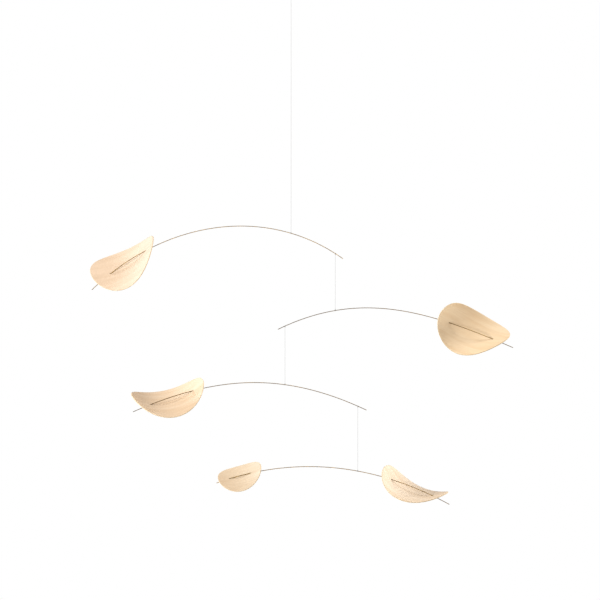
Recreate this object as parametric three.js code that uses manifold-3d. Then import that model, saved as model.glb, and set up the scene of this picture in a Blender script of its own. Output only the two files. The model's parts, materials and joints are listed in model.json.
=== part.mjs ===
// Hanging mobile: four arched brass wires hang one under the other on fine threads, and five thin
// leaves of bent wood veneer are threaded onto the ends of the wires.
// Millimetres, +Z up. The origin is on the flat top of the ceiling button. The threads hang straight
// down from it, and the mobile is seen from the front along +Y, with the hollow of each leaf in front.

import * as THREE from 'three';
import { mergeVertices } from 'three/addons/utils/BufferGeometryUtils.js';
import Module from 'manifold-3d';

const wasm = await Module();
wasm.setup();

// Free space round a wire in its holes and in its knots, and between a thread and what ends it.
const CLEARANCE = 0.3;

// Wire of the arms.
const WIRE_DIAMETER = 1.0;
const WIRE_SIDES = 8;
const WIRE_STEPS = 40;

// Thread, and the little knots that tie it round the wires.
const THREAD_DIAMETER = 0.3;
const THREAD_SIDES = 8;
const THREAD_STEPS = 4;
const KNOT_DIAMETER = 1.0;
const KNOT_SIDES = 8;
const KNOT_RINGS = 6;
const LOOP_SIDES = 5;
const LOOP_SEGMENTS = 12;
const LOOP_RADIUS = WIRE_DIAMETER / 2 + CLEARANCE + THREAD_DIAMETER / 2;
const KNOT_OFFSET = WIRE_DIAMETER / 2 + CLEARANCE + KNOT_DIAMETER / 2;
const THREAD_OFFSET = KNOT_OFFSET + KNOT_DIAMETER / 2 + CLEARANCE;

// Button under the ceiling: a turned disc with a straight rim, whose underside sweeps down to the
// thread's outlet. The flare is the height of the sweep's control point.
const BUTTON_DIAMETER = 22;
const BUTTON_RIM = 2.5;
const BUTTON_FLARE = 3.8;
const BUTTON_HEIGHT = 8;
const OUTLET_DIAMETER = 4;
const BUTTON_SIDES = 32;
const BUTTON_CURVE_STEPS = 5;

// Weights in grams per cubic millimetre. Each arm hangs at the point where its weights balance.
const BRASS_DENSITY = 0.0085;
const VENEER_DENSITY = 0.0006;

// Leaves: sheets cut to a bowed egg shape and bent like a piece of a cylinder. The taper is how much
// narrower the right end is, and the bow is a share of the width.
const VENEER_THICKNESS = 1.4;
const LEAF_LENGTH = 122.6;
const LEAF_WIDTH = 76.6;
const SMALL_LEAF_LENGTH = 75.4;
const SMALL_LEAF_WIDTH = 46.8;
const LEAF_TAPER = 0.014;
const LEAF_BOW = 0.084;
const LEAF_SEGMENTS = 44;
const LEAF_RINGS = 4;

// Wires, each straight across from its left end to its right end.
const TOP_SPAN = 409.5;
const SECOND_SPAN = 358.6;
const THIRD_SPAN = 365.1;
const LOWEST_SPAN = 378.9;

// Threads, each from what holds it down to the middle of the wire that it carries.
const TOP_DROP = 360;
const SECOND_DROP = 86.9;
const THIRD_DROP = 89.4;
const LOWEST_DROP = 99.1;

// Arms from the top one down. Each wire is a smooth curve in an upright plane, turned about the thread by
// facing (degrees). As shares of the span: rise is how much higher its right end is, the two grips shape
// the arch, each measured from its own end, and the next thread hangs at hangFromTip from the end named by
// hangSide. As shares of a leaf's length: its holes, along and across the flat sheet from the sheet's
// middle, its bend's radius, and fromTip, which is how far its outer hole is from the end of the wire. The
// sheet is bent across a line that grainAngle tilts, and turned on the wire by lean (degrees).
const ARMS = [
  {
    drop: TOP_DROP,
    facing: -20.3,
    span: TOP_SPAN,
    rise: 0.116,
    leftGrip: [0.293, 0.263],
    rightGrip: [-0.299, 0.201],
    hangSide: 'right',
    hangFromTip: 0.03,
    leaves: [
      {
        name: 'leaf_1',
        side: 'left',
        length: LEAF_LENGTH,
        width: LEAF_WIDTH,
        leftHole: [-0.261, -0.029],
        rightHole: [0.313, 0.027],
        fromTip: 0.24,
        bendRadius: 0.777,
        grainAngle: -16,
        lean: 37.3,
      },
    ],
  },
  {
    drop: SECOND_DROP,
    facing: 0.5,
    span: SECOND_SPAN,
    rise: -0.078,
    leftGrip: [0.346, 0.168],
    rightGrip: [-0.369, 0.16],
    hangSide: 'left',
    hangFromTip: 0.03,
    leaves: [
      {
        name: 'leaf_2',
        side: 'right',
        length: LEAF_LENGTH,
        width: LEAF_WIDTH,
        leftHole: [-0.303, -0.046],
        rightHole: [0.309, -0.004],
        fromTip: 0.246,
        bendRadius: 0.419,
        grainAngle: -33.3,
        lean: 18.9,
      },
    ],
  },
  {
    drop: THIRD_DROP,
    facing: 13.2,
    span: THIRD_SPAN,
    rise: 0.006,
    leftGrip: [0.351, 0.148],
    rightGrip: [-0.364, 0.167],
    hangSide: 'right',
    hangFromTip: 0.037,
    leaves: [
      {
        name: 'leaf_3',
        side: 'left',
        length: LEAF_LENGTH,
        width: LEAF_WIDTH,
        leftHole: [-0.271, -0.057],
        rightHole: [0.331, 0.011],
        fromTip: 0.213,
        bendRadius: 0.691,
        grainAngle: 1,
        lean: 59.6,
      },
    ],
  },
  {
    drop: LOWEST_DROP,
    facing: -20.4,
    span: LOWEST_SPAN,
    rise: -0.083,
    leftGrip: [0.313, 0.106],
    rightGrip: [-0.344, 0.176],
    leaves: [
      {
        name: 'leaf_4',
        side: 'left',
        length: SMALL_LEAF_LENGTH,
        width: SMALL_LEAF_WIDTH,
        leftHole: [-0.261, -0.009],
        rightHole: [0.238, 0.009],
        fromTip: 0.275,
        bendRadius: 1.138,
        grainAngle: 23,
        lean: 30.1,
      },
      {
        name: 'leaf_5',
        side: 'right',
        length: LEAF_LENGTH,
        width: LEAF_WIDTH,
        leftHole: [-0.298, -0.072],
        rightHole: [0.314, 0.034],
        fromTip: 0.21,
        bendRadius: 0.716,
        grainAngle: 11,
        lean: 75.1,
      },
    ],
  },
];

const BRASS = { color: 0x8a7a4c, roughness: 0.35, metalness: 0.9 };
const VENEER = { color: 0xe8cfa6, roughness: 0.6, metalness: 0 };
const THREAD = { color: 0xe6e4de, roughness: 0.5, metalness: 0 };

function piece(name, geometry, finish) {
  const mesh = new THREE.Mesh(geometry, new THREE.MeshStandardMaterial(finish));
  mesh.name = name;
  return mesh;
}

// A geometry as a solid that can be joined and cut.
const MERGE_DISTANCE = 1e-4;

function toSolid(geometry) {
  const bare = new THREE.BufferGeometry();
  bare.setAttribute('position', geometry.getAttribute('position'));
  bare.setIndex(geometry.index);
  const merged = mergeVertices(bare, MERGE_DISTANCE);
  return new wasm.Manifold(new wasm.Mesh({
    numProp: 3,
    vertProperties: new Float32Array(merged.getAttribute('position').array),
    triVerts: new Uint32Array(merged.index.array),
  }));
}

// The way back from a solid to a geometry.
function toGeometry(solid) {
  const mesh = solid.getMesh();
  const geometry = new THREE.BufferGeometry();
  geometry.setAttribute('position', new THREE.BufferAttribute(mesh.vertProperties, 3));
  geometry.setIndex(new THREE.BufferAttribute(mesh.triVerts, 1));
  geometry.computeVertexNormals();
  return geometry;
}

// Round bar along a curve, square at both ends.
function bar(curve, diameter, sides, steps) {
  const corners = [];
  for (let i = 0; i < sides; i += 1) {
    const angle = (2 * Math.PI * i) / sides;
    corners.push(new THREE.Vector2(Math.cos(angle), Math.sin(angle)).multiplyScalar(diameter / 2));
  }
  const section = new THREE.Shape(corners);
  return new THREE.ExtrudeGeometry(section, { extrudePath: curve, steps, bevelEnabled: false });
}

// Place between low and high where a rising measure reaches a value.
const HALVINGS = 40;

function findWhere(measure, value, low, high) {
  let below = low;
  let above = high;
  for (let i = 0; i < HALVINGS; i += 1) {
    const middle = (below + above) / 2;
    if (measure(middle) < value) {
      below = middle;
    } else {
      above = middle;
    }
  }
  return (below + above) / 2;
}

// Volume of a closed geometry and its centre of mass, from the tetrahedra under its faces.
function massCentre(geometry) {
  const flat = geometry.index ? geometry.toNonIndexed() : geometry;
  const position = flat.getAttribute('position');
  const corner = [new THREE.Vector3(), new THREE.Vector3(), new THREE.Vector3()];
  const centre = new THREE.Vector3();
  let volume = 0;
  for (let i = 0; i < position.count; i += 3) {
    corner.forEach((point, k) => point.fromBufferAttribute(position, i + k));
    const part = corner[0].dot(corner[1].clone().cross(corner[2])) / 6;
    volume += part;
    corner.forEach((point) => centre.addScaledVector(point, part / 4));
  }
  return { volume, centre: centre.divideScalar(volume) };
}

// Edge of the flat sheet at an angle round its middle: an ellipse that tapers to the right and bows down.
function outlinePoint(leaf, angle) {
  const cosine = Math.cos(angle);
  const along = (leaf.length / 2) * cosine;
  const across = (leaf.width / 2) * Math.sin(angle) * (1 - LEAF_TAPER * cosine);
  return [along, across + LEAF_BOW * leaf.width * Math.cos(2 * angle)];
}

// Place of a point of the flat sheet once it is bent. depth is measured from the middle of the veneer
// towards the hollow side, which faces -Y.
function bentPoint(leaf, [along, across], depth) {
  const grain = THREE.MathUtils.degToRad(leaf.grainAngle);
  const bent = along * Math.cos(grain) + across * Math.sin(grain);
  const straight = across * Math.cos(grain) - along * Math.sin(grain);
  const bendRadius = leaf.bendRadius * leaf.length;
  const angle = bent / bendRadius;
  const radius = bendRadius - depth;
  const x = radius * Math.sin(angle);
  const y = radius * Math.cos(angle) - bendRadius;
  return new THREE.Vector3(
    x * Math.cos(grain) - straight * Math.sin(grain),
    y,
    x * Math.sin(grain) + straight * Math.cos(grain),
  );
}

// Bent sheet without its holes: rings of points on both faces, closed by the cut edge.
function leafBlank(leaf) {
  const positions = [];
  const index = [];
  const layerSize = 1 + LEAF_RINGS * LEAF_SEGMENTS;
  for (const depth of [VENEER_THICKNESS / 2, -VENEER_THICKNESS / 2]) {
    positions.push(...bentPoint(leaf, [0, 0], depth));
    for (let ring = 1; ring <= LEAF_RINGS; ring += 1) {
      for (let i = 0; i < LEAF_SEGMENTS; i += 1) {
        const edge = outlinePoint(leaf, (2 * Math.PI * i) / LEAF_SEGMENTS);
        const share = ring / LEAF_RINGS;
        positions.push(...bentPoint(leaf, [edge[0] * share, edge[1] * share], depth));
      }
    }
  }
  const vertex = (layer, ring, i) => (
    layer * layerSize + (ring === 0 ? 0 : 1 + (ring - 1) * LEAF_SEGMENTS + (i % LEAF_SEGMENTS))
  );
  const addQuad = (a, b, c, d) => index.push(a, b, c, a, c, d);
  for (let i = 0; i < LEAF_SEGMENTS; i += 1) {
    index.push(vertex(0, 0, 0), vertex(0, 1, i), vertex(0, 1, i + 1));
    index.push(vertex(1, 0, 0), vertex(1, 1, i + 1), vertex(1, 1, i));
    for (let ring = 1; ring < LEAF_RINGS; ring += 1) {
      const next = ring + 1;
      addQuad(vertex(0, ring, i), vertex(0, next, i), vertex(0, next, i + 1), vertex(0, ring, i + 1));
      addQuad(vertex(1, ring, i), vertex(1, ring, i + 1), vertex(1, next, i + 1), vertex(1, next, i));
    }
    addQuad(
      vertex(0, LEAF_RINGS, i),
      vertex(1, LEAF_RINGS, i),
      vertex(1, LEAF_RINGS, i + 1),
      vertex(0, LEAF_RINGS, i + 1),
    );
  }
  const geometry = new THREE.BufferGeometry();
  geometry.setAttribute('position', new THREE.Float32BufferAttribute(positions, 3));
  geometry.setIndex(index);
  return geometry;
}

// Axes with X along a line and Z as near to upright as that allows.
function axesAlong(line) {
  const x = line.clone().normalize();
  const up = new THREE.Vector3(0, 0, 1);
  const z = up.addScaledVector(x, -up.dot(x)).normalize();
  return new THREE.Matrix4().makeBasis(x, z.clone().cross(x), z);
}

// Move that threads a leaf onto the wire: both holes on the wire, then turned on it by the leaf's lean.
function leafPlacement(leaf, curve) {
  const onLeft = leaf.side === 'left';
  const inSheet = (hole) => hole.map((share) => share * leaf.length);
  const left = bentPoint(leaf, inSheet(leaf.leftHole), 0);
  const right = bentPoint(leaf, inSheet(leaf.rightHole), 0);
  const inner = onLeft ? 1 : -1;
  const tip = curve.getPoint(onLeft ? 0 : 1);
  const reach = (t) => Math.abs(curve.getPoint(onLeft ? t : 1 - t).x - tip.x);
  const outerAt = findWhere(reach, leaf.fromTip * leaf.length, 0, 0.5);
  const outerHole = curve.getPoint(onLeft ? outerAt : 1 - outerAt);
  const distance = (t) => curve.getPoint(onLeft ? t : 1 - t).distanceTo(outerHole);
  const innerAt = findWhere(distance, left.distanceTo(right), outerAt, 1);
  const innerHole = curve.getPoint(onLeft ? innerAt : 1 - innerAt);
  const wireLine = innerHole.clone().sub(outerHole).multiplyScalar(inner);
  const target = axesAlong(wireLine);
  const turn = new THREE.Matrix4().makeRotationX(-THREE.MathUtils.degToRad(leaf.lean));
  const source = axesAlong(right.clone().sub(left)).invert();
  const rotation = target.multiply(turn).multiply(source);
  const anchor = onLeft ? left : right;
  const shift = outerHole.clone().sub(anchor.applyMatrix4(rotation));
  return new THREE.Matrix4().makeTranslation(shift).multiply(rotation);
}

// Leaf with its two holes, threaded onto the wire.
function makeLeaf(leaf, curve) {
  const placement = leafPlacement(leaf, curve);
  const drill = bar(curve, WIRE_DIAMETER + 2 * CLEARANCE, WIRE_SIDES, WIRE_STEPS);
  drill.applyMatrix4(placement.clone().invert());
  const solid = toSolid(leafBlank(leaf)).subtract(toSolid(drill));
  const mesh = piece(leaf.name, toGeometry(solid), VENEER);
  mesh.applyMatrix4(placement);
  return mesh;
}

// Wire of an arm in its own plane, from its left end at the origin.
function wireCurve(arm) {
  const inPlane = (along, up) => new THREE.Vector3(along, 0, up).multiplyScalar(arm.span);
  const right = inPlane(1, arm.rise);
  const leftGrip = inPlane(...arm.leftGrip);
  const rightGrip = inPlane(...arm.rightGrip).add(right);
  return new THREE.CubicBezierCurve3(new THREE.Vector3(), leftGrip, rightGrip, right);
}

// Where a curve passes over a place x, with its slope there.
function crossing(curve, x) {
  const t = findWhere((s) => curve.getPoint(s).x, x, 0, 1);
  const tangent = curve.getTangent(t);
  return { point: curve.getPoint(t), slope: Math.atan2(tangent.z, tangent.x) };
}

// Loop of thread round a wire, with its knot on the side (up 1, down -1) that the thread leaves to. The
// loop settles half way between square to the wire and upright.
function makeKnot(name, slope, side) {
  const loop = new THREE.TorusGeometry(LOOP_RADIUS, THREAD_DIAMETER / 2, LOOP_SIDES, LOOP_SEGMENTS);
  loop.rotateY(Math.PI / 2 - slope / 2);
  const knot = new THREE.SphereGeometry(KNOT_DIAMETER / 2, KNOT_SIDES, KNOT_RINGS);
  knot.translate(0, 0, side * KNOT_OFFSET);
  return piece(name, toGeometry(toSolid(loop).add(toSolid(knot))), THREAD);
}

function makeThread(name, top, bottom) {
  const line = new THREE.LineCurve3(new THREE.Vector3(0, 0, top), new THREE.Vector3(0, 0, bottom));
  return piece(name, bar(line, THREAD_DIAMETER, THREAD_SIDES, THREAD_STEPS), THREAD);
}

function makeButton() {
  const profile = new THREE.Path();
  profile.moveTo(0, -BUTTON_HEIGHT);
  profile.lineTo(OUTLET_DIAMETER / 2, -BUTTON_HEIGHT);
  profile.quadraticCurveTo(OUTLET_DIAMETER / 2, -BUTTON_FLARE, BUTTON_DIAMETER / 2, -BUTTON_RIM);
  profile.lineTo(BUTTON_DIAMETER / 2, 0);
  profile.lineTo(0, 0);
  const geometry = new THREE.LatheGeometry(profile.getPoints(BUTTON_CURVE_STEPS), BUTTON_SIDES);
  geometry.rotateX(Math.PI / 2);
  return piece('ceiling_button', geometry, BRASS);
}

// One arm with its leaves, hung at its balance point, which becomes the origin of the group. heldWeight
// is what hangs below it.
function makeArm(arm, number, heldWeight) {
  const curve = wireCurve(arm);
  const wire = piece(`wire_${number}`, bar(curve, WIRE_DIAMETER, WIRE_SIDES, WIRE_STEPS), BRASS);
  const leaves = arm.leaves.map((leaf) => makeLeaf(leaf, curve));
  const hangShare = arm.hangSide === 'left' ? arm.hangFromTip : 1 - arm.hangFromTip;
  const hang = arm.hangSide ? crossing(curve, hangShare * arm.span) : null;

  const weights = [wire, ...leaves].map((mesh) => {
    mesh.updateMatrix();
    const { volume, centre } = massCentre(mesh.geometry);
    const density = mesh === wire ? BRASS_DENSITY : VENEER_DENSITY;
    return { x: centre.applyMatrix4(mesh.matrix).x, weight: volume * density };
  });
  if (hang) weights.push({ x: hang.point.x, weight: heldWeight });
  const weight = weights.reduce((sum, item) => sum + item.weight, 0);
  const balanceX = weights.reduce((sum, item) => sum + item.weight * item.x, 0) / weight;
  const tie = crossing(curve, balanceX);

  const held = new THREE.Group();
  held.add(wire, ...leaves);
  held.position.copy(tie.point).negate();
  const knot = makeKnot(`knot_${number}_bottom`, tie.slope, 1);
  const group = new THREE.Group();
  group.add(held, knot);
  if (hang) {
    const hanger = makeKnot(`knot_${number + 1}_top`, hang.slope, -1);
    hanger.position.copy(hang.point).sub(tie.point);
    group.add(hanger);
  }
  group.rotation.z = THREE.MathUtils.degToRad(arm.facing);
  group.updateMatrix();
  const hangPoint = hang ? hang.point.clone().sub(tie.point).applyMatrix4(group.matrix) : null;
  return { group, weight, hangPoint };
}

// The arms are made from the lowest one up, because each balances what hangs below it.
function makeMobile() {
  const made = [];
  let weight = 0;
  for (let i = ARMS.length - 1; i >= 0; i -= 1) {
    made[i] = makeArm(ARMS[i], i + 1, weight);
    weight = made[i].weight;
  }
  const mobile = new THREE.Group();
  mobile.add(makeButton());
  let place = new THREE.Vector3(0, 0, -BUTTON_HEIGHT);
  ARMS.forEach((arm, i) => {
    const level = new THREE.Group();
    const topOffset = i === 0 ? CLEARANCE : THREAD_OFFSET;
    level.add(makeThread(`thread_${i + 1}`, -topOffset, THREAD_OFFSET - arm.drop));
    made[i].group.position.z = -arm.drop;
    level.add(made[i].group);
    level.position.copy(place);
    mobile.add(level);
    if (made[i].hangPoint) {
      place = place.clone().add(made[i].hangPoint);
      place.z -= arm.drop;
    }
  });
  return mobile;
}

export default makeMobile();
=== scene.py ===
# Looks of a hanging mobile: five bent veneer leaves on four arched brass wires, which hang one under the
# other on fine threads. Lengths are in millimetres until a mesh is placed, and then in metres.

import json
import math

import bpy
import bmesh
import numpy as np
from mathutils import Matrix, Vector


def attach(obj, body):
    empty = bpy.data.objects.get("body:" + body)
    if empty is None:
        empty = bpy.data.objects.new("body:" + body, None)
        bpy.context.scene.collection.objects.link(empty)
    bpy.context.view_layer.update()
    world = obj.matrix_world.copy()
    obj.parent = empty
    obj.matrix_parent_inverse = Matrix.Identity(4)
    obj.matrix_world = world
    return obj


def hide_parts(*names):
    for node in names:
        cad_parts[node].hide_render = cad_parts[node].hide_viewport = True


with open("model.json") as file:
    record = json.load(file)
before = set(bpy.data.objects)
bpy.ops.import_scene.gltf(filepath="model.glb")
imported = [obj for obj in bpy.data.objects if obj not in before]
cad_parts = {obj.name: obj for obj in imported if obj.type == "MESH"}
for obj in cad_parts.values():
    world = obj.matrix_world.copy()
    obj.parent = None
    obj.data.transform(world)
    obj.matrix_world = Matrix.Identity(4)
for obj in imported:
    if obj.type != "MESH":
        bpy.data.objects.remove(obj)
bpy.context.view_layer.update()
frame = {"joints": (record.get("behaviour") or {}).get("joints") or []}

MM = 0.001

# Sizes that the solids have too

WIRE_DIAMETER = 1.0
THREAD_DIAMETER = 0.3
VENEER_THICKNESS = 1.4
HOLE_DIAMETER = 1.6
BUTTON_RADIUS = 11
BUTTON_RIM = 2.5
BUTTON_HEIGHT = 8
OUTLET_RADIUS = 2

LARGE_LEAF = (122.6, 76.6)
SMALL_LEAF = (75.4, 46.8)
LEAF_TAPER = 0.014
LEAF_BOW = 0.084

# Each wire from its left end, in the upright plane that facing turns: its rise, its grips, and the place
# where the next thread hangs are shares of its span. tie is how many millimetres along it the thread above
# holds it. A leaf's holes, its distance from the wire's tip and its bend's radius are shares of its length.
ARMS = {
    1: {
        "facing": -20.3,
        "span": 409.5,
        "rise": 0.116,
        "left_grip": (0.293, 0.263),
        "right_grip": (-0.299, 0.201),
        "tie": 325.379,
        "hang": 0.97,
        "leaves": {
            "leaf_1": {
                "side": "left",
                "size": LARGE_LEAF,
                "left_hole": (-0.261, -0.029),
                "right_hole": (0.313, 0.027),
                "from_tip": 0.24,
                "bend_radius": 0.777,
                "grain_angle": -16,
                "lean": 37.3,
            },
        },
    },
    2: {
        "facing": 0.5,
        "span": 358.6,
        "rise": -0.078,
        "left_grip": (0.346, 0.168),
        "right_grip": (-0.369, 0.16),
        "tie": 87.391,
        "hang": 0.03,
        "leaves": {
            "leaf_2": {
                "side": "right",
                "size": LARGE_LEAF,
                "left_hole": (-0.303, -0.046),
                "right_hole": (0.309, -0.004),
                "from_tip": 0.246,
                "bend_radius": 0.419,
                "grain_angle": -33.3,
                "lean": 18.9,
            },
        },
    },
    3: {
        "facing": 13.2,
        "span": 365.1,
        "rise": 0.006,
        "left_grip": (0.351, 0.148),
        "right_grip": (-0.364, 0.167),
        "tie": 237.559,
        "hang": 0.963,
        "leaves": {
            "leaf_3": {
                "side": "left",
                "size": LARGE_LEAF,
                "left_hole": (-0.271, -0.057),
                "right_hole": (0.331, 0.011),
                "from_tip": 0.213,
                "bend_radius": 0.691,
                "grain_angle": 1,
                "lean": 59.6,
            },
        },
    },
    4: {
        "facing": -20.4,
        "span": 378.9,
        "rise": -0.083,
        "left_grip": (0.313, 0.106),
        "right_grip": (-0.344, 0.176),
        "tie": 230.263,
        "hang": None,
        "leaves": {
            "leaf_4": {
                "side": "left",
                "size": SMALL_LEAF,
                "left_hole": (-0.261, -0.009),
                "right_hole": (0.238, 0.009),
                "from_tip": 0.275,
                "bend_radius": 1.138,
                "grain_angle": 23,
                "lean": 30.1,
            },
            "leaf_5": {
                "side": "right",
                "size": LARGE_LEAF,
                "left_hole": (-0.298, -0.072),
                "right_hole": (0.314, 0.034),
                "from_tip": 0.21,
                "bend_radius": 0.716,
                "grain_angle": 11,
                "lean": 75.1,
            },
        },
    },
}

# The threads' upper and lower ends in metres, as the solids have them.
KNOT_AT = {joint["name"]: joint["pos_m"] for joint in frame["joints"]}


def tie_place(number):
    """Where the thread above holds a wire, in the row frame."""
    return Vector(KNOT_AT[f"swivel_{number}"])


def hang_place(number):
    """Where the thread of a lower level hangs from the wire above it."""
    return Vector(KNOT_AT[f"plumb_{number}"])


# Small helpers


def linear(code):
    """An sRGB colour such as "#e8cfa6" as linear red, green, blue and alpha."""
    channels = [int(code[i:i + 2], 16) / 255 for i in (1, 3, 5)]
    return tuple(c / 12.92 if c <= 0.04045 else ((c + 0.055) / 1.055) ** 2.4 for c in channels) + (1.0,)


def node(tree, kind, inputs=None, **settings):
    """Adds one node with its settings. An input is a value, or the socket that feeds it."""
    made = tree.nodes.new(kind)
    for name, value in settings.items():
        setattr(made, name, value)
    for key, value in (inputs or {}).items():
        if isinstance(value, bpy.types.NodeSocket):
            tree.links.new(value, made.inputs[key])
        else:
            made.inputs[key].default_value = value
    return made


def new_object(name, data):
    made = bpy.data.objects.new(name, data)
    bpy.context.scene.collection.objects.link(made)
    return made


def geometry_tree(name, sockets):
    """An empty geometry tree with named inputs, each a (name, socket type) pair."""
    tree = bpy.data.node_groups.new(name, "GeometryNodeTree")
    tree.is_modifier = True
    tree.interface.new_socket("Geometry", in_out="INPUT", socket_type="NodeSocketGeometry")
    for label, kind in sockets:
        tree.interface.new_socket(label, in_out="INPUT", socket_type=kind)
    tree.interface.new_socket("Geometry", in_out="OUTPUT", socket_type="NodeSocketGeometry")
    return tree, tree.nodes.new("NodeGroupInput").outputs


def grow(name, tree, values, mesh=None):
    """Runs a geometry tree with its inputs set, and returns the result as a plain mesh object."""
    obj = new_object(name, mesh or bpy.data.meshes.new(name))
    modifier = obj.modifiers.new("shape", "NODES")
    modifier.node_group = tree
    for item in tree.interface.items_tree:
        if item.item_type == "SOCKET" and item.in_out == "INPUT" and item.name in values:
            modifier[item.identifier] = values[item.name]
    bpy.context.view_layer.update()
    graph = bpy.context.evaluated_depsgraph_get()
    made = bpy.data.meshes.new_from_object(obj.evaluated_get(graph))
    obj.modifiers.clear()
    old = obj.data
    obj.data = made
    bpy.data.meshes.remove(old)
    made.name = name
    return obj


def dress(obj, body, slot, *nodes):
    """A finished piece: what it rides on, and the solids that it stands for, which it hides. slot, the slot
    of its finish, is not used.
    """
    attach(obj, body)
    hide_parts(*nodes)


# Materials


def new_material(name):
    made = bpy.data.materials.new(name)
    made.use_nodes = True
    made.node_tree.nodes.clear()
    return made, made.node_tree


def close_material(tree, shader):
    node(tree, "ShaderNodeOutputMaterial", {"Surface": shader.outputs[0]})


def veneer_finish(name, pale, streak):
    """Sliced birch veneer, sanded and left matt: fine straight grain along the sheet, slow bands of tone
    between the slices, and short pores. The grain lines are drawn 0.7 mm apart and the pores 7 mm long,
    coarser than the real ones, so that they show."""
    made, tree = new_material(name)
    sheet = node(tree, "ShaderNodeUVMap", uv_map="sheet").outputs["UV"]
    bands = node(tree, "ShaderNodeMapping", {"Vector": sheet, "Scale": (9, 95, 1)})
    band = node(tree, "ShaderNodeTexNoise", {
        "Vector": bands.outputs[0], "Scale": 1.0, "Detail": 3.0, "Roughness": 0.55, "Distortion": 0.3,
    }, noise_dimensions="2D")
    lines = node(tree, "ShaderNodeMapping", {"Vector": sheet, "Scale": (24, 1400, 1)})
    line = node(tree, "ShaderNodeTexNoise", {
        "Vector": lines.outputs[0], "Scale": 1.0, "Detail": 2.0, "Roughness": 0.6,
    }, noise_dimensions="2D")
    pores = node(tree, "ShaderNodeMapping", {"Vector": sheet, "Scale": (140, 2600, 1)})
    pore = node(tree, "ShaderNodeTexNoise", {
        "Vector": pores.outputs[0], "Scale": 1.0, "Detail": 1.0, "Roughness": 0.5,
    }, noise_dimensions="2D")
    pore_dark = node(tree, "ShaderNodeMapRange", {
        "Value": pore.outputs["Fac"], "From Min": 0.64, "From Max": 0.78, "To Min": 0.0, "To Max": 0.35,
    })
    mixed = node(tree, "ShaderNodeMath", {0: band.outputs["Fac"], 1: 0.65}, operation="MULTIPLY")
    grain = node(tree, "ShaderNodeMath", {
        0: line.outputs["Fac"], 1: 0.35, 2: mixed.outputs[0],
    }, operation="MULTIPLY_ADD")
    ramp = node(tree, "ShaderNodeValToRGB", {"Fac": grain.outputs[0]})
    ramp.color_ramp.elements[0].position = 0.34
    ramp.color_ramp.elements[0].color = linear(streak)
    ramp.color_ramp.elements[1].position = 0.62
    ramp.color_ramp.elements[1].color = linear(pale)
    colour = node(tree, "ShaderNodeMix", {
        "Factor": pore_dark.outputs[0], 6: ramp.outputs["Color"], 7: linear(streak),
    }, data_type="RGBA")
    rough = node(tree, "ShaderNodeMapRange", {
        "Value": grain.outputs[0], "From Min": 0.3, "From Max": 0.7, "To Min": 0.66, "To Max": 0.54,
    })
    relief = node(tree, "ShaderNodeMath", {
        0: line.outputs["Fac"], 1: pore_dark.outputs[0],
    }, operation="SUBTRACT")
    bump = node(tree, "ShaderNodeBump", {
        "Height": relief.outputs[0], "Strength": 0.25, "Distance": 0.00006,
    })
    shader = node(tree, "ShaderNodeBsdfPrincipled", {
        "Base Color": colour.outputs[2], "Roughness": rough.outputs[0], "Normal": bump.outputs[0],
        "Metallic": 0.0, "IOR": 1.5, "Specular IOR Level": 0.3,
    })
    close_material(tree, shader)
    return made


def cut_edge_finish():
    """Edge of the veneer, cut across and sanded: end grain drinks in more and looks a shade darker. The
    mottling is 0.6 mm."""
    made, tree = new_material("veneer_edge_cut_and_sanded")
    place = node(tree, "ShaderNodeTexCoord").outputs["Object"]
    mottle = node(tree, "ShaderNodeTexNoise", {"Vector": place, "Scale": 1600.0, "Detail": 2.0})
    ramp = node(tree, "ShaderNodeValToRGB", {"Fac": mottle.outputs["Fac"]})
    ramp.color_ramp.elements[0].position = 0.35
    ramp.color_ramp.elements[0].color = linear("#c6ad87")
    ramp.color_ramp.elements[1].position = 0.65
    ramp.color_ramp.elements[1].color = linear("#d9c4a2")
    shader = node(tree, "ShaderNodeBsdfPrincipled", {
        "Base Color": ramp.outputs["Color"], "Roughness": 0.75, "Metallic": 0.0, "IOR": 1.5,
        "Specular IOR Level": 0.3,
    })
    close_material(tree, shader)
    return made


def brass_finish(name, bright, tarnish, shine, roughness):
    """Brass left bare, which goes dull and olive brown in patches about 9 mm long. The brown film colours
    the shine at its sides too. Drawing and turning leave fine lines that only break up its shine."""
    made, tree = new_material(name)
    place = node(tree, "ShaderNodeTexCoord").outputs["Object"]
    patches = node(tree, "ShaderNodeTexNoise", {"Vector": place, "Scale": 110.0, "Detail": 3.0})
    ramp = node(tree, "ShaderNodeValToRGB", {"Fac": patches.outputs["Fac"]})
    ramp.color_ramp.elements[0].position = 0.38
    ramp.color_ramp.elements[0].color = linear(tarnish)
    ramp.color_ramp.elements[1].position = 0.64
    ramp.color_ramp.elements[1].color = linear(bright)
    rough = node(tree, "ShaderNodeMapRange", {
        "Value": patches.outputs["Fac"], "From Min": 0.3, "From Max": 0.7,
        "To Min": roughness + 0.12, "To Max": roughness - 0.06,
    })
    lines = node(tree, "ShaderNodeTexNoise", {"Vector": place, "Scale": 4200.0, "Detail": 1.0})
    bump = node(tree, "ShaderNodeBump", {
        "Height": lines.outputs["Fac"], "Strength": 0.12, "Distance": 0.00002,
    })
    shader = node(tree, "ShaderNodeBsdfPrincipled", {
        "Base Color": ramp.outputs["Color"], "Roughness": rough.outputs[0], "Normal": bump.outputs[0],
        "Metallic": 1.0, "Specular Tint": linear(shine),
    })
    close_material(tree, shader)
    return made


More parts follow.
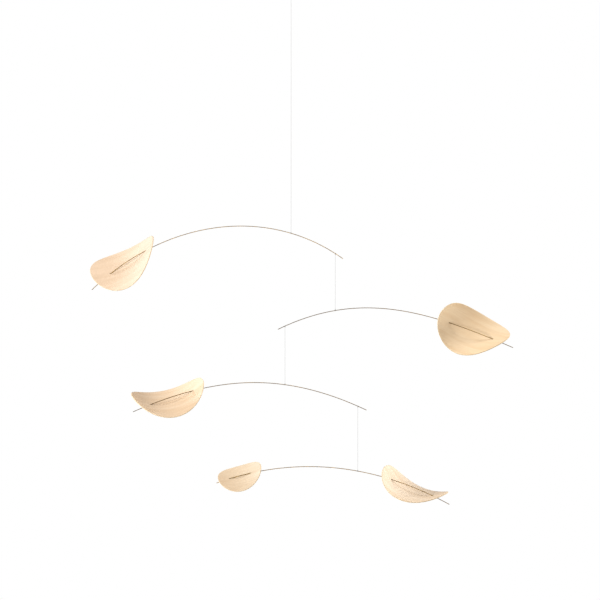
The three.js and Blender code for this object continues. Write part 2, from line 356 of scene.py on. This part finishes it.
def thread_finish():
    """Twisted polyester thread, undyed: pale grey with the slanting bands of its two plies, one turn every
    0.9 mm. The darker grey in the bands is painted shade in the grooves of the twist."""
    made, tree = new_material("polyester_thread_twisted")
    place = node(tree, "ShaderNodeTexCoord").outputs["Object"]
    plies = node(tree, "ShaderNodeTexWave", {
        "Vector": place, "Scale": 350.0, "Distortion": 0.4, "Detail": 1.0,
    }, wave_type="BANDS", bands_direction="DIAGONAL")
    # Darker grey along the ply bands: painted shade in the twist's grooves, beside the bump's relief.
    ramp = node(tree, "ShaderNodeValToRGB", {"Fac": plies.outputs["Fac"]})
    ramp.color_ramp.elements[0].color = linear("#65625c")
    ramp.color_ramp.elements[1].color = linear("#8b8881")
    bump = node(tree, "ShaderNodeBump", {
        "Height": plies.outputs["Fac"], "Strength": 0.5, "Distance": 0.00004,
    })
    shader = node(tree, "ShaderNodeBsdfPrincipled", {
        "Base Color": ramp.outputs["Color"], "Roughness": 0.55, "Normal": bump.outputs[0],
        "Metallic": 0.0, "IOR": 1.55,
    })
    close_material(tree, shader)
    return made


def floor_finish():
    """Painted studio floor: matt, pale and nearly even. It is seen under a wash of light, and throws back
    onto the mobile only what the soft boxes cast on it."""
    made, tree = new_material("studio_floor_painted")
    place = node(tree, "ShaderNodeTexCoord").outputs["Object"]
    cloud = node(tree, "ShaderNodeTexNoise", {"Vector": place, "Scale": 1.5, "Detail": 2.0})
    ramp = node(tree, "ShaderNodeValToRGB", {"Fac": cloud.outputs["Fac"]})
    ramp.color_ramp.elements[0].color = linear("#efece7")
    ramp.color_ramp.elements[1].color = linear("#f5f3ef")
    seen = node(tree, "ShaderNodeLightPath").outputs["Is Camera Ray"]
    glow = node(tree, "ShaderNodeMapRange", {"Value": seen, "To Min": 0.0, "To Max": FLOOR_WASH})
    shader = node(tree, "ShaderNodeBsdfPrincipled", {
        "Base Color": ramp.outputs["Color"], "Roughness": 0.9, "Metallic": 0.0, "IOR": 1.5,
        "Specular IOR Level": 0.2, "Emission Color": ramp.outputs["Color"],
        "Emission Strength": glow.outputs[0],
    })
    close_material(tree, shader)
    made.cycles.emission_sampling = "NONE"
    return made


# All leaves are one birch veneer. Each leaf's pale and streak colours are set lighter or darker on their own:
# painted light and shade for how much light that leaf gets where it hangs, on top of the veneer's own colour.
VENEER_TONES_WITH_PAINTED_LIGHT = {
    "leaf_1": ("#d9c1a7", "#ceb599"),
    "leaf_2": ("#e7d0ae", "#dcc09a"),
    "leaf_3": ("#dfc8ac", "#d4b897"),
    "leaf_4": ("#cdb99e", "#c3ab8d"),
    "leaf_5": ("#eedcc5", "#e5ceb1"),
}
VENEERS = {
    leaf: veneer_finish(f"birch_veneer_sanded_{leaf[-1]}", *tones_and_light) for leaf, tones_and_light in VENEER_TONES_WITH_PAINTED_LIGHT.items()
}
CUT_EDGE = cut_edge_finish()
WIRE_BRASS = brass_finish("brass_wire_drawn_aged", "#8c6f36", "#735a2b", "#a8854a", 0.5)
BUTTON_BRASS = brass_finish("brass_turned_aged", "#c4a86e", "#a08752", "#e0cda4", 0.45)
THREAD_FIBRE = thread_finish()

# Camera

# The view is level and from far off. 915.6 mm fills the picture's height, and its middle is 13.6 mm right
# of the top thread and 469.8 mm below the ceiling.
VIEW_HEIGHT = 915.6
VIEW_CENTRE = Vector((13.6, 0.0, -469.8)) * MM
VIEW_DISTANCE = 32.0
SENSOR = 36.0

camera_data = bpy.data.cameras.new("camera")
camera_data.sensor_width = SENSOR
camera_data.lens = SENSOR * VIEW_DISTANCE / (VIEW_HEIGHT * MM)
camera_data.clip_end = 100
camera = new_object("camera", camera_data)
camera.location = VIEW_CENTRE + Vector((0, -VIEW_DISTANCE, 0))
camera.rotation_euler = (math.pi / 2, 0, 0)
bpy.context.scene.camera = camera

# Threads


def thread_tree():
    """A taut round thread between two points."""
    tree, given = geometry_tree("taut_thread", [
        ("Top", "NodeSocketVector"), ("Bottom", "NodeSocketVector"), ("Diameter", "NodeSocketFloat"),
        ("Lengths", "NodeSocketInt"), ("Sides", "NodeSocketInt"), ("Finish", "NodeSocketMaterial"),
    ])
    line = node(tree, "GeometryNodeCurvePrimitiveLine", {"Start": given["Top"], "End": given["Bottom"]})
    fine = node(tree, "GeometryNodeResampleCurve", {"Curve": line.outputs[0], "Count": given["Lengths"]})
    radius = node(tree, "ShaderNodeMath", {0: given["Diameter"], 1: 0.5}, operation="MULTIPLY")
    section = node(tree, "GeometryNodeCurvePrimitiveCircle", {
        "Resolution": given["Sides"], "Radius": radius.outputs[0],
    })
    tube = node(tree, "GeometryNodeCurveToMesh", {
        "Curve": fine.outputs[0], "Profile Curve": section.outputs[0], "Fill Caps": True,
    })
    whole = node(tree, "GeometryNodeRealizeInstances", {"Geometry": tube.outputs[0]})
    done = node(tree, "GeometryNodeSetMaterial", {"Geometry": whole.outputs[0], "Material": given["Finish"]})
    node(tree, "NodeGroupOutput", {0: done.outputs[0]})
    return tree


# A thread's ends run on into the knots, so its line starts and stops this far from the wires' middles.
THREAD_ENTERS_KNOT = WIRE_DIAMETER / 2 + 0.7
BUTTON_OUTLET = Vector((0, 0, -BUTTON_HEIGHT)) * MM
THREAD_POINTS = 21
THREAD_SIDES = 10
TAUT_THREAD = thread_tree()
for number in ARMS:
    drop = Vector((0, 0, THREAD_ENTERS_KNOT * MM))
    top = BUTTON_OUTLET if number == 1 else hang_place(number) - drop
    bottom = tie_place(number) + drop
    line = grow(f"hanging_thread_{number}", TAUT_THREAD, {
        "Top": top, "Bottom": bottom, "Diameter": THREAD_DIAMETER * MM,
        "Lengths": THREAD_POINTS, "Sides": THREAD_SIDES, "Finish": THREAD_FIBRE,
    })
    line.data.shade_smooth()
    dress(line, f"thread_{number}", "thread", f"thread_{number}")

# Wires

WIRE_LENGTHS = 160
WIRE_SIDES = 16
WIRE_CREASE = 40
HALVINGS = 50


def wire_corners(arm):
    """The wire's left end, its two grips and its right end, in its own plane."""
    left_grip, right_grip = arm["left_grip"], arm["right_grip"]
    corners = [(0, 0), left_grip, (1 + right_grip[0], arm["rise"] + right_grip[1]), (1, arm["rise"])]
    return [Vector((along, 0, up)) * arm["span"] for along, up in corners]


def wire_point(arm, t):
    """A point of the wire in its own plane."""
    shares = [(1 - t) ** 3, 3 * (1 - t) ** 2 * t, 3 * (1 - t) * t * t, t ** 3]
    return sum((corner * share for corner, share in zip(wire_corners(arm), shares)), Vector())


def find_where(measure, value, low, high):
    """Place between low and high where a rising measure reaches a value."""
    for _ in range(HALVINGS):
        middle = (low + high) / 2
        if measure(middle) < value:
            low = middle
        else:
            high = middle
    return (low + high) / 2


def wire_at(arm, along):
    """Where the wire passes over a place along it, and its direction there."""
    t = find_where(lambda s: wire_point(arm, s).x, along, 0, 1)
    step = 1e-4
    return wire_point(arm, t), (wire_point(arm, t + step) - wire_point(arm, t - step)).normalized()


def arm_place(number):
    """The move from an arm's own plane, in millimetres, to the row frame."""
    arm = ARMS[number]
    tie, _ = wire_at(arm, arm["tie"])
    turn = Matrix.Rotation(math.radians(arm["facing"]), 4, "Z")
    return Matrix.Translation(tie_place(number)) @ Matrix.Scale(MM, 4) @ turn @ Matrix.Translation(-tie)


def wire_tree():
    """A round wire drawn along one smooth arch between two ends."""
    tree, given = geometry_tree("arched_wire", [
        ("Left end", "NodeSocketVector"), ("Left grip", "NodeSocketVector"),
        ("Right grip", "NodeSocketVector"), ("Right end", "NodeSocketVector"),
        ("Diameter", "NodeSocketFloat"), ("Lengths", "NodeSocketInt"), ("Sides", "NodeSocketInt"),
        ("Finish", "NodeSocketMaterial"),
    ])
    arch = node(tree, "GeometryNodeCurvePrimitiveBezierSegment", {
        "Resolution": given["Lengths"], "Start": given["Left end"], "Start Handle": given["Left grip"],
        "End Handle": given["Right grip"], "End": given["Right end"],
    }, mode="POSITION")
    radius = node(tree, "ShaderNodeMath", {0: given["Diameter"], 1: 0.5}, operation="MULTIPLY")
    section = node(tree, "GeometryNodeCurvePrimitiveCircle", {
        "Resolution": given["Sides"], "Radius": radius.outputs[0],
    })
    rod = node(tree, "GeometryNodeCurveToMesh", {
        "Curve": arch.outputs[0], "Profile Curve": section.outputs[0], "Fill Caps": True,
    })
    whole = node(tree, "GeometryNodeRealizeInstances", {"Geometry": rod.outputs[0]})
    done = node(tree, "GeometryNodeSetMaterial", {"Geometry": whole.outputs[0], "Material": given["Finish"]})
    node(tree, "NodeGroupOutput", {0: done.outputs[0]})
    return tree


def smooth_but_sharp(obj, angle):
    """Smooth shading, with a crease wherever two faces meet at more than an angle in degrees."""
    obj.data.shade_smooth()
    obj.data.set_sharp_from_angle(angle=math.radians(angle))


ARCHED_WIRE = wire_tree()
for number, arm in ARMS.items():
    place = arm_place(number)
    left_end, left_grip, right_grip, right_end = [place @ corner for corner in wire_corners(arm)]
    wire = grow(f"brass_wire_{number}", ARCHED_WIRE, {
        "Left end": left_end, "Left grip": left_grip, "Right grip": right_grip, "Right end": right_end,
        "Diameter": WIRE_DIAMETER * MM, "Lengths": WIRE_LENGTHS, "Sides": WIRE_SIDES, "Finish": WIRE_BRASS,
    })
    smooth_but_sharp(wire, WIRE_CREASE)
    dress(wire, f"arm_{number}", "brass", f"wire_{number}")

# Leaves

LEAF_SEGMENTS = 144
LEAF_RINGS = 26
LEAF_CREASE = 35
# The sheet's sanded corner, how far its middle point stays from the full corner, and its strips of faces.
ARRIS = 0.18
ARRIS_MIDDLE = 0.3 * ARRIS
EDGE_STRIPS = 5
# Metres on the map of the veneer between one leaf and the next, and between a leaf's two faces.
MAP_STEP = 0.9
MAP_BACK = 0.4
DRILL_REACH = 14
DRILL_SIDES = 28


def outline_point(size, angle):
    """Edge of the flat sheet: an ellipse that tapers to the right and bows down."""
    length, width = size
    across = width / 2 * math.sin(angle) * (1 - LEAF_TAPER * math.cos(angle))
    return length / 2 * math.cos(angle), across + LEAF_BOW * width * math.cos(2 * angle)


def sheet_blank(name, size, shift):
    """Flat sheet: X runs along it, Z across it and -Y to the side that will be hollow. Its edge has
    sanded corners. The map "sheet" keeps each point's place in the veneer, in metres."""
    half = VENEER_THICKNESS / 2
    layers = [(-half, share / LEAF_RINGS, 0.0) for share in range(1, LEAF_RINGS)]
    layers += [(-half, 1.0, -ARRIS), (-half + ARRIS_MIDDLE, 1.0, -ARRIS_MIDDLE), (-half + ARRIS, 1.0, 0.0)]
    layers += [(half - ARRIS, 1.0, 0.0), (half - ARRIS_MIDDLE, 1.0, -ARRIS_MIDDLE), (half, 1.0, -ARRIS)]
    layers += [(half, share / LEAF_RINGS, 0.0) for share in range(LEAF_RINGS - 1, 0, -1)]
    vertices = [(0, -half, 0)]
    for depth, share, inset in layers:
        for i in range(LEAF_SEGMENTS):
            along, across = outline_point(size, 2 * math.pi * i / LEAF_SEGMENTS)
            reach = math.hypot(along, across)
            scale = share * (reach + inset) / reach
            vertices.append((along * scale, depth, across * scale))
    vertices.append((0, half, 0))
    last = len(vertices) - 1
    faces, edge = [], []
    around = range(LEAF_SEGMENTS)
    for i in around:
        after = (i + 1) % LEAF_SEGMENTS
        faces.append((0, 1 + i, 1 + after))
        edge.append(False)
        for layer in range(len(layers) - 1):
            low = 1 + layer * LEAF_SEGMENTS
            high = low + LEAF_SEGMENTS
            faces.append((low + i, high + i, high + after, low + after))
            edge.append(0 <= layer - (LEAF_RINGS - 1) < EDGE_STRIPS)
        base = last - LEAF_SEGMENTS
        faces.append((last, base + after, base + i))
        edge.append(False)
    mesh = bpy.data.meshes.new(name)
    mesh.from_pydata(vertices, [], faces)
    mesh.attributes.new("cut_edge", "BOOLEAN", "FACE").data.foreach_set("value", edge)
    # The two faces of a sheet are not the same slice of wood, so the back reads another part of the map.
    places = np.array([
        (x * MM + shift + (MAP_BACK if y > 0 else 0), z * MM) for x, y, z in vertices
    ], np.float32)
    corners = np.zeros(len(mesh.loops), np.int32)
    mesh.loops.foreach_get("vertex_index", corners)
    mesh.uv_layers.new(name="sheet").data.foreach_set("uv", places[corners].ravel())
    return mesh


def bend_tree():
    """Bends a flat sheet into a piece of a cylinder, hollow towards -Y. The cylinder's line lies at the
    grain angle to the sheet's short way."""
    tree, given = geometry_tree("bent_sheet", [
        ("Bend radius", "NodeSocketFloat"), ("Grain angle", "NodeSocketFloat"),
        ("Finish", "NodeSocketMaterial"), ("Edge finish", "NodeSocketMaterial"),
    ])
    upright = (0, 1, 0)
    place = node(tree, "GeometryNodeInputPosition").outputs[0]
    back = node(tree, "ShaderNodeMath", {0: given["Grain angle"], 1: -1.0}, operation="MULTIPLY")
    turned = node(tree, "ShaderNodeVectorRotate", {
        "Vector": place, "Center": (0, 0, 0), "Axis": upright, "Angle": given["Grain angle"],
    }, rotation_type="AXIS_ANGLE")
    parts = node(tree, "ShaderNodeSeparateXYZ", {0: turned.outputs[0]})
    angle = node(tree, "ShaderNodeMath", {0: parts.outputs["X"], 1: given["Bend radius"]}, operation="DIVIDE")
    radius = node(tree, "ShaderNodeMath", {0: parts.outputs["Y"], 1: given["Bend radius"]}, operation="ADD")
    sine = node(tree, "ShaderNodeMath", {0: angle.outputs[0]}, operation="SINE")
    cosine = node(tree, "ShaderNodeMath", {0: angle.outputs[0]}, operation="COSINE")
    x = node(tree, "ShaderNodeMath", {0: radius.outputs[0], 1: sine.outputs[0]}, operation="MULTIPLY")
    reach = node(tree, "ShaderNodeMath", {0: radius.outputs[0], 1: cosine.outputs[0]}, operation="MULTIPLY")
    y = node(tree, "ShaderNodeMath", {0: reach.outputs[0], 1: given["Bend radius"]}, operation="SUBTRACT")
    joined = node(tree, "ShaderNodeCombineXYZ", {
        "X": x.outputs[0], "Y": y.outputs[0], "Z": parts.outputs["Z"],
    })
    bent = node(tree, "ShaderNodeVectorRotate", {
        "Vector": joined.outputs[0], "Center": (0, 0, 0), "Axis": upright, "Angle": back.outputs[0],
    }, rotation_type="AXIS_ANGLE")
    moved = node(tree, "GeometryNodeSetPosition", {
        "Geometry": given["Geometry"], "Position": bent.outputs[0],
    })
    whole = node(tree, "GeometryNodeRealizeInstances", {"Geometry": moved.outputs[0]})
    faces = node(tree, "GeometryNodeSetMaterial", {"Geometry": whole.outputs[0], "Material": given["Finish"]})
    is_edge = node(tree, "GeometryNodeInputNamedAttribute", {"Name": "cut_edge"}, data_type="BOOLEAN")
    done = node(tree, "GeometryNodeSetMaterial", {
        "Geometry": faces.outputs[0], "Selection": is_edge.outputs["Attribute"],
        "Material": given["Edge finish"],
    })
    node(tree, "NodeGroupOutput", {0: done.outputs[0]})
    return tree


def bent_point(leaf, hole):
    """Place of a hole once the sheet is bent."""
    grain = math.radians(leaf["grain_angle"])
    bend_radius = leaf["bend_radius"] * leaf["size"][0]
    along, across = [share * leaf["size"][0] for share in hole]
    angle = (along * math.cos(grain) + across * math.sin(grain)) / bend_radius
    straight = across * math.cos(grain) - along * math.sin(grain)
    x = bend_radius * math.sin(angle)
    return Vector((
        x * math.cos(grain) - straight * math.sin(grain),
        bend_radius * (math.cos(angle) - 1),
        x * math.sin(grain) + straight * math.cos(grain),
    ))


def axes_along(line):
    """Axes with X along a line and Z as near to upright as that allows."""
    x = line.normalized()
    up = Vector((0, 0, 1))
    z = (up - x * up.dot(x)).normalized()
    return Matrix((x, z.cross(x), z)).transposed()


def thread_leaf(arm, leaf):
    """The move that puts both holes of a leaf on its wire, with the holes' places along the wire."""
    on_left = leaf["side"] == "left"
    left = bent_point(leaf, leaf["left_hole"])
    right = bent_point(leaf, leaf["right_hole"])
    from_tip = leaf["from_tip"] * leaf["size"][0]

    def from_end(t):
        return wire_point(arm, t if on_left else 1 - t)

    tip = from_end(0)
    outer_at = find_where(lambda t: abs(from_end(t).x - tip.x), from_tip, 0, 0.5)
    outer = from_end(outer_at)
    inner_at = find_where(lambda t: (from_end(t) - outer).length, (left - right).length, outer_at, 1)
    inner = from_end(inner_at)
    line = inner - outer if on_left else outer - inner
    turn = Matrix.Rotation(-math.radians(leaf["lean"]), 3, "X")
    rotation = axes_along(line) @ turn @ axes_along(right - left).transposed()
    anchor = left if on_left else right
    return Matrix.Translation(outer - rotation @ anchor) @ rotation.to_4x4(), (outer, inner)


def drill_bits(name, arm, places):
    """Rods along the wire at both holes, to cut them with."""
    work = bmesh.new()
    for place in places:
        _, direction = wire_at(arm, place.x)
        turn = direction.to_track_quat("Z", "Y").to_matrix().to_4x4()
        bmesh.ops.create_cone(
            work, cap_ends=True, segments=DRILL_SIDES, radius1=HOLE_DIAMETER / 2,
            radius2=HOLE_DIAMETER / 2, depth=DRILL_REACH, matrix=Matrix.Translation(place) @ turn,
        )
    for face in work.faces:
        face.material_index = 1
    mesh = bpy.data.meshes.new(name)
    work.to_mesh(mesh)
    work.free()
    for finish in (None, CUT_EDGE):
        mesh.materials.append(finish)
    return new_object(name, mesh)


def cut_holes(obj, bits):
    """Takes the drill bits out of a leaf, and applies the cut."""
    modifier = obj.modifiers.new("holes", "BOOLEAN")
    modifier.operation = "DIFFERENCE"
    modifier.solver = "EXACT"
    modifier.material_mode = "INDEX"
    modifier.object = bits
    bpy.context.view_layer.update()
    graph = bpy.context.evaluated_depsgraph_get()
    cut = bpy.data.meshes.new_from_object(obj.evaluated_get(graph))
    obj.modifiers.clear()
    old = obj.data
    obj.data = cut
    bpy.data.meshes.remove(old)
    bpy.data.objects.remove(bits)


BENT_SHEET = bend_tree()
for number, arm in ARMS.items():
    for name, leaf in arm["leaves"].items():
        blank = sheet_blank(name, leaf["size"], shift=MAP_STEP * int(name[-1]))
        sheet = grow(f"veneer_{name}", BENT_SHEET, {
            "Bend radius": leaf["bend_radius"] * leaf["size"][0],
            "Grain angle": math.radians(leaf["grain_angle"]),
            "Finish": VENEERS[name], "Edge finish": CUT_EDGE,
        }, mesh=blank)
        threading, holes = thread_leaf(arm, leaf)
        sheet.data.transform(threading)
        cut_holes(sheet, drill_bits(f"bits_{name}", arm, holes))
        sheet.data.transform(arm_place(number))
        smooth_but_sharp(sheet, LEAF_CREASE)
        dress(sheet, f"arm_{number}", "veneer", name)

# Knots

LOOP_TURNS = 2.25
LOOP_STEPS = 28
WRAP_TURNS = 4.25
WRAP_STEPS = 24
# The coil round the thread starts this far from the wire's middle, just clear of the loop.
WRAP_STARTS = WIRE_DIAMETER / 2 + 0.22


def knot_tree():
    """A thread wound round a wire and then round itself: two coils of the same thread."""
    tree, given = geometry_tree("wound_knot", [
        ("Thread", "NodeSocketFloat"), ("Wire radius", "NodeSocketFloat"),
        ("Loop turns", "NodeSocketFloat"), ("Wrap turns", "NodeSocketFloat"),
        ("Wire turn", "NodeSocketVector"), ("Wrap turn", "NodeSocketVector"),
        ("Wrap starts", "NodeSocketVector"), ("Place", "NodeSocketVector"),
        ("Finish", "NodeSocketMaterial"),
    ])
    half = node(tree, "ShaderNodeMath", {0: given["Thread"], 1: 0.5}, operation="MULTIPLY")
    section = node(tree, "GeometryNodeCurvePrimitiveCircle", {
        "Resolution": THREAD_SIDES, "Radius": half.outputs[0],
    })
    loop_radius = node(tree, "ShaderNodeMath", {0: given["Wire radius"], 1: half.outputs[0]}, operation="ADD")
    loop_length = node(tree, "ShaderNodeMath", {
        0: given["Thread"], 1: given["Loop turns"],
    }, operation="MULTIPLY")
    middle = node(tree, "ShaderNodeMath", {0: loop_length.outputs[0], 1: -0.5}, operation="MULTIPLY")
    loop = node(tree, "GeometryNodeCurveSpiral", {
        "Resolution": LOOP_STEPS, "Rotations": given["Loop turns"], "Start Radius": loop_radius.outputs[0],
        "End Radius": loop_radius.outputs[0], "Height": loop_length.outputs[0],
    })
    lower = node(tree, "ShaderNodeCombineXYZ", {"Z": middle.outputs[0]})
    centred = node(tree, "GeometryNodeTransform", {
        "Geometry": loop.outputs[0], "Translation": lower.outputs[0],
    })
    on_wire = node(tree, "GeometryNodeTransform", {
        "Geometry": centred.outputs[0], "Rotation": given["Wire turn"],
    })
    wrap_length = node(tree, "ShaderNodeMath", {
        0: given["Thread"], 1: given["Wrap turns"],
    }, operation="MULTIPLY")
    wrap = node(tree, "GeometryNodeCurveSpiral", {
        "Resolution": WRAP_STEPS, "Rotations": given["Wrap turns"], "Start Radius": given["Thread"],
        "End Radius": given["Thread"], "Height": wrap_length.outputs[0],
    })
    on_thread = node(tree, "GeometryNodeTransform", {
        "Geometry": wrap.outputs[0], "Translation": given["Wrap starts"], "Rotation": given["Wrap turn"],
    })
    both = node(tree, "GeometryNodeJoinGeometry")
    tree.links.new(on_wire.outputs[0], both.inputs[0])
    tree.links.new(on_thread.outputs[0], both.inputs[0])
    tube = node(tree, "GeometryNodeCurveToMesh", {
        "Curve": both.outputs[0], "Profile Curve": section.outputs[0], "Fill Caps": True,
    })
    placed = node(tree, "GeometryNodeTransform", {
        "Geometry": tube.outputs[0], "Translation": given["Place"],
    })
    whole = node(tree, "GeometryNodeRealizeInstances", {"Geometry": placed.outputs[0]})
    done = node(tree, "GeometryNodeSetMaterial", {"Geometry": whole.outputs[0], "Material": given["Finish"]})
    node(tree, "NodeGroupOutput", {0: done.outputs[0]})
    return tree


WOUND_KNOT = knot_tree()


def wind_knot(name, arm, along, place, upward, body):
    """The knot round a wire at a distance along it. The thread leaves it upward or downward."""
    _, direction = wire_at(arm, along)
    turned = Matrix.Rotation(math.radians(arm["facing"]), 3, "Z") @ direction
    sign = 1 if upward else -1
    knot = grow(f"wound_{name}", WOUND_KNOT, {
        "Thread": THREAD_DIAMETER * MM, "Wire radius": WIRE_DIAMETER / 2 * MM,
        "Loop turns": LOOP_TURNS, "Wrap turns": WRAP_TURNS,
        "Wire turn": turned.to_track_quat("Z", "Y").to_euler(),
        "Wrap turn": (0.0 if upward else math.pi, 0.0, 0.0),
        "Wrap starts": (0.0, 0.0, sign * WRAP_STARTS * MM),
        "Place": place, "Finish": THREAD_FIBRE,
    })
    knot.data.shade_smooth()
    dress(knot, body, "thread", name)


for number, arm in ARMS.items():
    wind_knot(f"knot_{number}_bottom", arm, arm["tie"], tie_place(number), True, f"thread_{number}")
    if arm["hang"] is not None:
        lower = number + 1
        along = arm["hang"] * arm["span"]
        wind_knot(f"knot_{lower}_top", arm, along, hang_place(lower), False, f"hanger_{lower}")

# Ceiling button

BUTTON_SIDES = 96
BUTTON_CREASE = 32
# The rim's eased corners, the underside's sweep, and the lip, mouth and bore of the thread's outlet.
EASED = 0.35
EASED_MIDDLE = 0.1
SWEEP_STEPS = 12
SWEEP_WAIST = 3.8
LIP = 0.3
MOUTH_RADIUS = 0.55
MOUTH_DEPTH = 0.25
BORE_RADIUS = 0.35
BORE_DEPTH = 3


def turned_button():
    """Brass button turned on a lathe: flat on top, a straight rim with eased corners, and an underside that
    sweeps down to a small outlet for the thread."""
    rim, outlet, low = BUTTON_RADIUS, OUTLET_RADIUS, -BUTTON_HEIGHT
    profile = [(0, 0), (rim - EASED, 0), (rim - EASED_MIDDLE, -EASED_MIDDLE), (rim, -EASED)]
    profile += [(rim, -BUTTON_RIM + EASED), (rim - EASED_MIDDLE, -BUTTON_RIM + EASED_MIDDLE)]
    for i in range(SWEEP_STEPS + 1):
        t = 1 - i / SWEEP_STEPS
        r = (1 - t) ** 2 * outlet + 2 * (1 - t) * t * outlet + t * t * (rim - EASED)
        z = -((1 - t) ** 2 * (BUTTON_HEIGHT - LIP) + 2 * (1 - t) * t * SWEEP_WAIST + t * t * BUTTON_RIM)
        profile.append((r, z))
    profile += [(outlet - LIP, low), (MOUTH_RADIUS, low), (BORE_RADIUS, low + MOUTH_DEPTH)]
    profile += [(BORE_RADIUS, low + BORE_DEPTH), (0, low + BORE_DEPTH)]
    work = bmesh.new()
    rings = []
    for radius, height in profile:
        if radius == 0:
            rings.append([work.verts.new((0, 0, height * MM))])
            continue
        rings.append([
            work.verts.new((
                radius * MM * math.cos(2 * math.pi * i / BUTTON_SIDES),
                radius * MM * math.sin(2 * math.pi * i / BUTTON_SIDES),
                height * MM,
            )) for i in range(BUTTON_SIDES)
        ])
    for upper, under in zip(rings, rings[1:]):
        for i in range(BUTTON_SIDES):
            after = (i + 1) % BUTTON_SIDES
            if len(upper) == 1:
                work.faces.new((upper[0], under[i], under[after]))
            elif len(under) == 1:
                work.faces.new((upper[i], under[0], upper[after]))
            else:
                work.faces.new((upper[i], under[i], under[after], upper[after]))
    bmesh.ops.recalc_face_normals(work, faces=work.faces)
    mesh = bpy.data.meshes.new("turned_button")
    work.to_mesh(mesh)
    work.free()
    mesh.materials.append(BUTTON_BRASS)
    button = new_object("turned_button", mesh)
    smooth_but_sharp(button, BUTTON_CREASE)
    dress(button, "ceiling", "brass", "ceiling_button")


turned_button()

# Floor, light and background

FLOOR_LEVEL = -2.4
FLOOR_RADIUS = 12.0
FLOOR_WASH = 0.8


def studio_floor():
    """Round painted floor far below, which the level view doesn't reach."""
    work = bmesh.new()
    bmesh.ops.create_circle(work, cap_ends=True, segments=96, radius=FLOOR_RADIUS)
    bmesh.ops.translate(work, verts=work.verts, vec=(0, 0, FLOOR_LEVEL))
    mesh = bpy.data.meshes.new("studio_floor")
    work.to_mesh(mesh)
    work.free()
    mesh.materials.append(floor_finish())
    new_object("studio_floor", mesh)


def soft_box(name, place, aim, size, power, colour):
    """A soft light, wide by high, that points at a place. It isn't seen itself."""
    data = bpy.data.lights.new(name, "AREA")
    data.shape = "RECTANGLE"
    data.size, data.size_y = size
    data.energy = power
    data.color = linear(colour)[:3]
    light = new_object(name, data)
    light.location = place
    light.rotation_euler = (Vector(aim) - Vector(place)).to_track_quat("-Z", "Y").to_euler()
    light.visible_camera = False


def studio_world():
    """A pure white ground behind the mobile. It lights the mobile only weakly, as the warm walls of a room
    do: the soft boxes do the rest."""
    world = bpy.data.worlds.new("white_studio")
    world.use_nodes = True
    tree = world.node_tree
    tree.nodes.clear()
    seen = node(tree, "ShaderNodeLightPath").outputs["Is Camera Ray"]
    colour = node(tree, "ShaderNodeMix", {
        "Factor": seen, 6: linear(ROOM_COLOUR), 7: (1, 1, 1, 1),
    }, data_type="RGBA")
    strength = node(tree, "ShaderNodeMapRange", {"Value": seen, "To Min": ROOM_LIGHT, "To Max": 1.0})
    back = node(tree, "ShaderNodeBackground", {"Color": colour.outputs[2], "Strength": strength.outputs[0]})
    node(tree, "ShaderNodeOutputWorld", {"Surface": back.outputs[0]})
    bpy.context.scene.world = world


ROOM_LIGHT = 0.07
ROOM_COLOUR = "#ffbc69"
MIDDLE = (0.0, 0.0, -0.5)
SOFT_BOXES = {
    "left_front": ((-2.3, -2.0, -0.4), (0.8, 0.8), 107, "#ffffff"),
    "left_back": ((-3.0, 0.9, -0.4), (0.8, 0.8), 106, "#d1e9ff"),
    "right": ((3.0, 0.3, -0.4), (1.4, 0.9), 94, "#ffffff"),
    "overhead": ((1.2, -0.3, 2.4), (1.0, 1.0), 90, "#ffffff"),
}
studio_floor()
studio_world()
for name, (place, size, power, colour) in SOFT_BOXES.items():
    soft_box(f"{name}_soft_box", place, MIDDLE, size, power, colour)
bpy.context.scene.view_settings.view_transform = "Standard"
bpy.context.scene.view_settings.look = "None"
